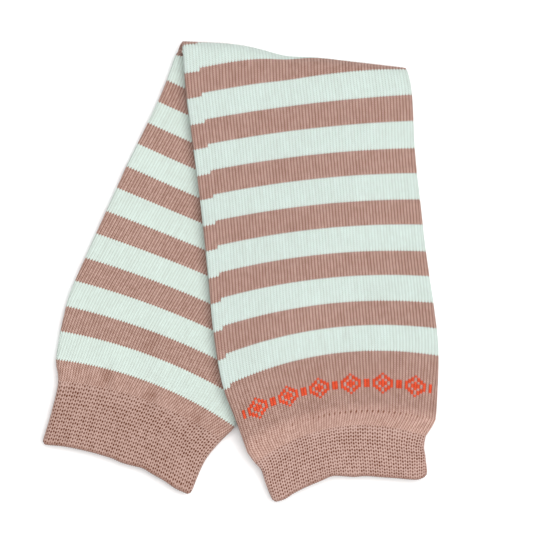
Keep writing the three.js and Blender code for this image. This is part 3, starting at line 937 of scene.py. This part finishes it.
@dataclass(frozen=True)
class Jersey:
    """Jersey with mint and rose stripes, a plain rose band at both ends and a border of small orange lozenges."""

    yarns: Yarns
    has_border: bool
    jog_rows: float
    first_rows: float = 6.0
    spike_up: float = 1.0
    spike_down: float = 0.8
    spike_level: float = 0.33
    jog_wale: float = 4.0
    jog_from_wale: float = 84.0
    jog_to_wale: float = 138.0
    border_row: float = 185.0
    border_first_wale: float = 5.0
    border_last_wale: float = 71.0
    lozenge_pitch: float = 11.0
    lozenge_rows: float = 5.4
    lozenge_wales: float = 4.3
    ring_inside: float = 0.68
    heart_outside: float = 0.36
    link_outside: float = 0.42
    eyelet_row: float = 199.0
    eyelet_wale: float = 48.0
    eyelet_reach: float = 14.0
    eyelet_width: float = 0.15
    eyelet_rows: float = 0.6
    eyelet_variation: float = 0.5
    eyelet_size: float = 0.85
    # Painted shade in the eyelets
    eyelet_painted_shade: float = 0.9
    eyelet_depth: float = 1.5
    pale_row: float = 194.0
    back_pale_row: float = 167.0
    back_pale_share: float = 0.4
    pale_rows: float = 5.0
    pale_clearing: float = 0.1
    pale_gain: float = 0.24
    arm_slant: float = 0.9
    # Painted shade between the yarns: in the grooves, between a wale's two columns and where yarns cross
    arm_painted_shade: float = 0.3
    arm_level: float = 0.15
    arm_height: float = 0.5
    groove_painted_shade: float = 0.56
    groove_height: float = 0.9
    heart_painted_shade: float = 0.08
    stitch_dark: float = 0.2
    mint_share: float = 0.28
    streak_dark: float = 0.14
    patch_dark: float = 0.06
    bump_distance: float = 0.00018
    bump_strength: float = 0.8
    sheen: float = 0.1

    def material(self, name: str) -> bpy.types.Material:
        """Make the material.

        Rows are counted from the middle of the tube, where a stripe has its first rows to either side. A row is rose
        where it plus these, less whole repeats, is under a stripe's rows. The rose yarn shows further in the grooves
        between the wales at both edges of a stripe, by a share of the squared distance from the wale's middle. The
        tube is knitted in a spiral, so the stripes jump by jog_rows at one wale, and that is made up for evenly over
        the hidden panel.

        Args:
            name: The material's name.

        Returns:
            The material.
        """
        b = Bench(name)
        wale, along = b.knit()
        aside = b.math("MULTIPLY", b.math("ABSOLUTE", b.math("SUBTRACT", b.math("FRACT", wale), 0.5)), 2.0)
        run = b.math("SUBTRACT", b.math("FLOOR", wale), self.jog_from_wale)
        regained = b.math("DIVIDE", run, self.jog_to_wale - self.jog_from_wale, clamp=True)
        jog = b.math("MAXIMUM", regained, b.math("LESS_THAN", wale, self.jog_wale))
        row = b.math("ADD", along, b.math("MULTIPLY", jog, -self.jog_rows))
        lead = b.math("SUBTRACT", b.math("POWER", aside, 2.0), self.spike_level)
        is_rose = self._rose(b, b.math("ABSOLUTE", row), lead)
        colour = b.mix(is_rose, self.yarns.mint, self.yarns.rose)
        if self.has_border:
            colour = b.mix(self._border(b, wale, row), colour, self.yarns.orange)
        dark, height = self._stitches(b, wale, row, aside, is_rose)
        near_front = b.math("DIVIDE", b.math("SUBTRACT", row, self.pale_row), self.pale_rows, clamp=True)
        near_back = b.math("DIVIDE", b.math("SUBTRACT", -self.back_pale_row, row), self.pale_rows, clamp=True)
        near_seam = b.math("MULTIPLY_ADD", near_back, self.back_pale_share, near_front)
        dark = b.math("MULTIPLY", dark, b.math("MULTIPLY_ADD", near_seam, -self.pale_clearing, 1.0))
        colour = b.shade(colour, b.math("MULTIPLY_ADD", near_seam, self.pale_gain, 1.0))
        if self.has_border:
            eyelet = self._eyelets(b, wale, row)
            # Painted shade in the eyelets, which the bump also sinks
            dark = b.math("ADD", dark, b.math("MULTIPLY", eyelet, self.eyelet_painted_shade))
            height = b.math("SUBTRACT", height, b.math("MULTIPLY", eyelet, self.eyelet_depth))
        streaks = b.noise(b.vector(wale, b.math("MULTIPLY", along, 0.1)), 0.6)
        patches = b.noise(b.vector(wale, along), 0.05)
        dark = b.math("MULTIPLY_ADD", streaks, self.streak_dark, dark)
        dark = b.math("MULTIPLY_ADD", patches, self.patch_dark, dark)
        # Painted shade in the creases' troughs
        dark = b.math("MULTIPLY_ADD", b.hollow(), self.yarns.crease_painted_shade, dark)
        b.bump(height, self.bump_distance, self.bump_strength)
        return b.cotton(b.deepen(colour, dark), self.sheen)

    def _rose(self, b: Bench, count: Socket, lead: Socket) -> Socket:
        """Return 1 where the yarn is rose and 0 where it is mint.

        Args:
            b: The shader.
            count: Rows from the middle of the tube.
            lead: The share of a spike's length at each place of a wale.

        Returns:
            The share of rose.
        """
        started = b.math("ADD", count, b.math("MULTIPLY_ADD", lead, self.spike_up, self.first_rows))
        repeat = b.math("MODULO", started, STRIPE_ROWS + MINT_ROWS)
        size = b.math("MULTIPLY_ADD", lead, self.spike_up + self.spike_down, STRIPE_ROWS)
        band = b.math("ADD", count, b.math("MULTIPLY", lead, self.spike_up))
        return b.math("MAXIMUM", b.math("LESS_THAN", repeat, size), b.math("GREATER_THAN", band, float(BAND_ROW)))

    def _stitches(
        self, b: Bench, wale: Socket, row: Socket, aside: Socket, is_rose: Socket
    ) -> tuple[Socket, Socket]:
        """Shade and raise the V stitches.

        Each wale is two columns of slanted yarns, with painted shade: darkest in the groove beside it, a little dark
        between its two columns and where one yarn passes under the next. Each stitch is a little lighter or darker.

        Args:
            b: The shader.
            wale: Wales round the tube.
            row: Rows along it.
            aside: 0 in the middle of a wale and 1 at its sides.
            is_rose: 1 for the rose yarn, which shows its stitches more than the mint one.

        Returns:
            The darkness, painted shade with each stitch's own tone, and the height.
        """
        slanted = b.math("MULTIPLY_ADD", aside, self.arm_slant, row)
        arms = b.math("COSINE", b.math("MULTIPLY", slanted, 2 * math.pi))
        groove = b.math("POWER", aside, 3.0)
        heart = b.math("POWER", b.math("SUBTRACT", 1.0, aside), 6.0)
        stitch = b.random(b.math("FLOOR", wale), b.math("FLOOR", slanted))
        # Painted shade in the groove, between the two columns and where the yarns cross
        dark = b.math("ADD", b.math("MULTIPLY", groove, self.groove_painted_shade), b.math("MULTIPLY", heart, self.heart_painted_shade))
        dark = b.math("ADD", dark, b.math("MULTIPLY_ADD", arms, self.arm_painted_shade, self.arm_level))
        dark = b.math("ADD", dark, b.math("MULTIPLY", stitch, self.stitch_dark))
        height = b.math("MULTIPLY_ADD", arms, -self.arm_height, b.math("MULTIPLY", groove, -self.groove_height))
        share = b.math("MULTIPLY_ADD", is_rose, 1 - self.mint_share, self.mint_share)
        return b.math("MULTIPLY", dark, share), height

    def _eyelets(self, b: Bench, wale: Socket, row: Socket) -> Socket:
        """Return a row of small round holes, one every second wale.

        They are open about one wale, and nearly closed far from it.
        """
        pair = b.math("MULTIPLY", wale, 0.5)
        aside = b.math("DIVIDE", b.math("SUBTRACT", b.math("FRACT", pair), 0.5), self.eyelet_width)
        along = b.math("DIVIDE", b.math("SUBTRACT", row, self.eyelet_row), self.eyelet_rows)
        away = b.math("ADD", b.math("MULTIPLY", aside, aside), b.math("MULTIPLY", along, along))
        hole = b.math("EXPONENT", b.math("MULTIPLY", away, -1.0))
        apart = b.math("DIVIDE", b.math("SUBTRACT", wale, self.eyelet_wale), self.eyelet_reach)
        held_open = b.math("EXPONENT", b.math("MULTIPLY", b.math("MULTIPLY", apart, apart), -1.0))
        size = b.math("MULTIPLY_ADD", b.random(b.math("FLOOR", pair), 7.0), self.eyelet_variation, held_open)
        return b.math("MULTIPLY", hole, b.math("MULTIPLY", size, self.eyelet_size))

    def _border(self, b: Bench, wale: Socket, row: Socket) -> Socket:
        """Return 1 on the stitches of the border: open lozenges with a filled heart, and small links between them.

        The distance from a lozenge's middle is the sum of the shares of its half width and half height, taken at
        the middle of each stitch.
        """
        stitch = b.math("ADD", b.math("FLOOR", wale), 0.5)
        course = b.math("ADD", b.math("FLOOR", row), 0.5)
        up = b.math("DIVIDE", b.math("ABSOLUTE", b.math("SUBTRACT", course, self.border_row)), self.lozenge_rows)
        place = b.math("SUBTRACT", stitch, self.border_first_wale)
        in_pitch = b.math("SUBTRACT", b.math("MODULO", place, self.lozenge_pitch), self.lozenge_pitch / 2)
        from_middle = b.math("ABSOLUTE", in_pitch)
        away = b.math("ADD", b.math("DIVIDE", from_middle, self.lozenge_wales), up)
        ring = b.math("MULTIPLY", b.math("LESS_THAN", away, 1.0), b.math("GREATER_THAN", away, self.ring_inside))
        heart = b.math("LESS_THAN", away, self.heart_outside)
        from_gap = b.math("SUBTRACT", self.lozenge_pitch / 2, from_middle)
        from_link = b.math("ADD", b.math("DIVIDE", from_gap, self.lozenge_wales), up)
        link = b.math("LESS_THAN", from_link, self.link_outside)
        on = b.math("MAXIMUM", b.math("MAXIMUM", ring, heart), link)
        start = b.math("GREATER_THAN", stitch, self.border_first_wale)
        end = b.math("LESS_THAN", stitch, self.border_last_wale)
        return b.math("MULTIPLY", on, b.math("MULTIPLY", start, end))


@dataclass(frozen=True)
class MeshRib:
    """The cuffs' rose mesh rib, with painted shade in its small holes, fainter by the seam, and round the hem's edge.
    """

    yarns: Yarns
    stitches: int
    # Painted shade in the two sets of holes
    hole_painted_shade: float = 1.3
    hole_variation: float = 0.4
    second_hole_painted_shade: float = 1.15
    second_variation: float = 0.5
    hole_width: float = 0.18
    hole_length: float = 0.28
    # Painted shade in the grooves down the columns of holes
    column_painted_shade: float = 0.12
    knot_dark: float = 0.16
    patch_dark: float = 0.16
    uneven_stitches: float = 4.0
    faint_stitches: float = 2.0
    fade_rate: float = 0.4
    faint_share: float = 0.84
    fade_gain: float = 0.18
    rim_stitches: float = 1.1
    rim_clearing: float = 0.8
    # Painted shade round the hem's edge
    rim_painted_shade: float = 0.55
    arm_slant: float = 1.6
    # Painted shade where the slanted yarns cross
    arm_painted_shade: float = 0.12
    arm_height: float = 0.5
    bump_distance: float = 0.00014
    bump_strength: float = 0.7
    sheen: float = 0.1

    def material(self, name: str) -> bpy.types.Material:
        """Make the material, with painted shade in holes where the piece's relief has them and between the slanted
        yarns.

        Args:
            name: The material's name.

        Returns:
            The material.
        """
        b = Bench(name)
        rib, stitch = b.knit()
        # Painted shade in the two sets of holes and in the grooves down their columns
        first = self._holes(b, b.math("ADD", rib, 0.5), stitch, self.hole_painted_shade, self.hole_variation)
        shifted = b.math("ADD", stitch, Cuff.SECOND_SHIFT)
        second = self._holes(b, rib, shifted, self.second_hole_painted_shade, self.second_variation)
        column = b.math("COSINE", b.math("MULTIPLY", rib, 4 * math.pi))
        dark = b.math("MULTIPLY_ADD", column, self.column_painted_shade, b.math("MAXIMUM", first, second))
        knot = b.random(b.math("FLOOR", b.math("MULTIPLY", rib, 2.0)), b.math("FLOOR", stitch))
        dark = b.math("MULTIPLY_ADD", knot, self.knot_dark, dark)
        dark = b.math("MULTIPLY_ADD", b.noise(b.vector(rib, stitch), 0.12), self.patch_dark, dark)
        past_faint = b.math("SUBTRACT", stitch, self.faint_stitches)
        start = b.math("MULTIPLY_ADD", b.noise(b.vector(rib, 0.0), 0.35), self.uneven_stitches, past_faint)
        faded_in = b.math("MULTIPLY", start, self.fade_rate, clamp=True)
        dark = b.math("MULTIPLY", dark, b.math("MULTIPLY_ADD", faded_in, self.fade_gain, self.faint_share))
        # Painted shade round the hem's edge, where the cloth turns under, in place of the holes' darkness
        rim = b.math("SUBTRACT", stitch, self.stitches - self.rim_stitches, clamp=True)
        dark = b.math("MULTIPLY", dark, b.math("MULTIPLY_ADD", rim, -self.rim_clearing, 1.0))
        dark = b.math("MULTIPLY_ADD", rim, self.rim_painted_shade, dark)
        # Painted shade in the creases' troughs
        dark = b.math("MULTIPLY_ADD", b.hollow(), self.yarns.crease_painted_shade, dark)
        strand = b.math("ABSOLUTE", b.math("SUBTRACT", b.math("FRACT", b.math("MULTIPLY", rib, 2.0)), 0.5))
        slanted = b.math("MULTIPLY_ADD", strand, self.arm_slant, b.math("MULTIPLY", stitch, 2.0))
        arms = b.math("COSINE", b.math("MULTIPLY", slanted, 2 * math.pi))
        # Painted shade where the slanted yarns cross
        dark = b.math("MULTIPLY_ADD", arms, self.arm_painted_shade, dark)
        twist = b.noise(b.vector(b.math("MULTIPLY", rib, 3.0), b.math("MULTIPLY", stitch, 3.0)), 1.0)
        b.bump(b.math("MULTIPLY_ADD", arms, -self.arm_height, twist), self.bump_distance, self.bump_strength)
        return b.cotton(b.deepen(self.yarns.cuff_rose, dark), self.sheen)

    def _holes(self, b: Bench, across: Socket, along: Socket, deepest: float, variation: float) -> Socket:
        """Return round holes, one in the middle of each cell, as bells of painted shade of different darkness.

        Args:
            b: The shader.
            across: Cells round the tube.
            along: Cells along it.
            deepest: The darkness of the darkest hole.
            variation: How much lighter others are, as a share.

        Returns:
            The darkness.
        """
        x = b.math("DIVIDE", b.math("SUBTRACT", b.math("FRACT", across), 0.5), self.hole_width)
        y = b.math("DIVIDE", b.math("SUBTRACT", b.math("FRACT", along), 0.5), self.hole_length)
        away = b.math("ADD", b.math("MULTIPLY", x, x), b.math("MULTIPLY", y, y))
        depth = b.random(b.math("FLOOR", across), b.math("FLOOR", along))
        dark = b.math("MULTIPLY_ADD", depth, deepest * variation, deepest * (1 - variation))
        return b.math("MULTIPLY", b.math("EXPONENT", b.math("MULTIPLY", away, -1.0)), dark)


@dataclass(frozen=True)
class Studio:
    """A plain pale floor, soft light and a camera straight above, framed as the photograph."""

    mm_per_pixel: float = 0.375
    pixels: int = 533
    centre: tuple[float, float] = (9.75, 1.69)
    distance: float = 2.6
    focus_height: float = 0.006
    sensor: float = 36.0
    floor_reach: float = 3.0
    room_light: float = 0.58
    lamp_place: tuple[float, float, float] = (0.35, 0.15, 1.5)
    lamp_size: float = 1.5
    lamp_watts: float = 30.0

    def floor(self) -> None:
        """Lay the floor."""
        mesh = bpy.data.meshes.new("floor")
        size = self.floor_reach
        corners = [(-size, -size, 0), (size, -size, 0), (size, size, 0), (-size, size, 0)]
        mesh.from_pydata(corners, [], [(0, 1, 2, 3)])
        floor = bpy.data.objects.new("floor", mesh)
        bpy.context.scene.collection.objects.link(floor)
        b = Bench("floor_paint")
        b.shader.inputs["Base Color"].default_value = (0.95, 0.95, 0.95, 1.0)
        b.shader.inputs["Roughness"].default_value = 0.9
        mesh.materials.append(b.material)

    def camera(self) -> None:
        """Hang the camera over the middle of the photograph's frame, looking straight down."""
        data = bpy.data.cameras.new("camera")
        data.sensor_width = self.sensor
        frame_width = self.mm_per_pixel * self.pixels * MM
        data.lens = self.sensor * (self.distance - self.focus_height) / frame_width
        data.clip_start, data.clip_end = 0.1, 20.0
        camera = bpy.data.objects.new("camera", data)
        camera.location = (self.centre[0] * MM, self.centre[1] * MM, self.distance)
        bpy.context.scene.collection.objects.link(camera)
        bpy.context.scene.camera = camera

    def lamp(self) -> None:
        """Hang one square soft lamp that faces the object."""
        data = bpy.data.lights.new("key", "AREA")
        data.shape, data.size, data.energy = "SQUARE", self.lamp_size, self.lamp_watts
        lamp = bpy.data.objects.new("key", data)
        lamp.location = self.lamp_place
        direction = -np.array(self.lamp_place)
        yaw = math.atan2(direction[1], direction[0])
        pitch = math.atan2(-direction[2], math.hypot(direction[0], direction[1]))
        lamp.rotation_euler = (0.0, pitch - math.pi / 2, yaw)
        bpy.context.scene.collection.objects.link(lamp)

    def light(self) -> None:
        """Fill the room with white light and add a soft lamp."""
        world = bpy.data.worlds.new("room")
        world.use_nodes = True
        background = world.node_tree.nodes["Background"]
        background.inputs["Color"].default_value = (1.0, 1.0, 1.0, 1.0)
        background.inputs["Strength"].default_value = self.room_light
        bpy.context.scene.world = world
        self.lamp()
        bpy.context.scene.view_settings.view_transform = "Standard"


def row_length(row: float, half: Half) -> float:
    """Return the length along the cloth of a row of one half."""
    return half.value * row * ROW_HEIGHT


def pieces_of_pair() -> list[KnitTube]:
    """List the six pieces of the pair, each named for its own node.

    A hidden cuff has a coarser grid than one that shows, and ends a little short of it.
    """
    seam_back, seam_front = row_length(BACK_CUFF_ROW, Half.BACK), row_length(FRONT_CUFF_ROW, Half.FRONT)
    hem_back, hem_front = row_length(BACK_HEM_ROW, Half.BACK), row_length(FRONT_HEM_ROW, Half.FRONT)
    hidden_hem = HIDDEN_HEM_ROWS * ROW_HEIGHT
    front_stitch = (hem_front - seam_front) / FRONT_CUFF_STITCHES
    back_stitch = (seam_back - hem_back) / BACK_CUFF_STITCHES
    pieces: list[KnitTube] = []
    for warmer in Warmer:
        is_outer = warmer is Warmer.OUTER
        front_end = hem_front - (0 if is_outer else hidden_hem)
        back_end = hem_back + (hidden_hem if is_outer else 0)
        front_columns, front_rows = SHOWN_GRID if is_outer else HIDDEN_GRID
        back_columns, back_rows = HIDDEN_GRID if is_outer else SHOWN_GRID
        pieces += [
            Leg(f"{warmer.value}_leg", warmer, seam_back, seam_front, LEG_WALL, COLUMNS_PER_WALE * WALES),
            Cuff(
                f"{warmer.value}_front_cuff", warmer, seam_front, front_end, CUFF_WALL,
                front_columns * RIBS, Half.FRONT, front_rows, front_stitch, FRONT_CUFF_SLANT,
            ),
            Cuff(
                f"{warmer.value}_back_cuff", warmer, back_end, seam_back, CUFF_WALL,
                back_columns * RIBS, Half.BACK, back_rows, back_stitch,
            ),
        ]
    return pieces


def dress(pair: FoldedPair) -> None:
    """Build every piece of the pair, hang it from the root body and hide the part of the same name."""
    materials = {
        "outer_leg": Jersey(YARNS[Warmer.OUTER], has_border=True, jog_rows=1.5).material("bordered_jersey"),
        "inner_leg": Jersey(YARNS[Warmer.INNER], has_border=False, jog_rows=0.0).material("jersey"),
    }
    for warmer in Warmer:
        for half, stitches in ((Half.FRONT, FRONT_CUFF_STITCHES), (Half.BACK, BACK_CUFF_STITCHES)):
            node = f"{warmer.value}_{half.name.lower()}_cuff"
            materials[node] = MeshRib(YARNS[warmer], stitches).material(f"{node}_mesh_rib")
    for tube in pieces_of_pair():
        node = tube.name
        tube.name = f"{node}_knit"
        piece = tube.build(pair)
        piece.data.materials.append(materials[node])
        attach(piece, "root")
        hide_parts(node)
        "cuff_knit" if isinstance(tube, Cuff) else "leg_knit"
        width, length, area = tube.cut(pair)
        LOG.info("%s: %d faces, cut %.0f by %.0f mm", piece.name, len(piece.data.polygons), width / MM, length / MM)


def main() -> None:
    """Build the studio and the pair, logging each piece's faces and the size of its cut."""
    logging.basicConfig(level=logging.INFO, format="%(message)s")
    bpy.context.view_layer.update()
    studio = Studio()
    studio.camera()
    studio.floor()
    studio.light()
    dress(FoldedPair())


if __name__ == "__main__":
    main()
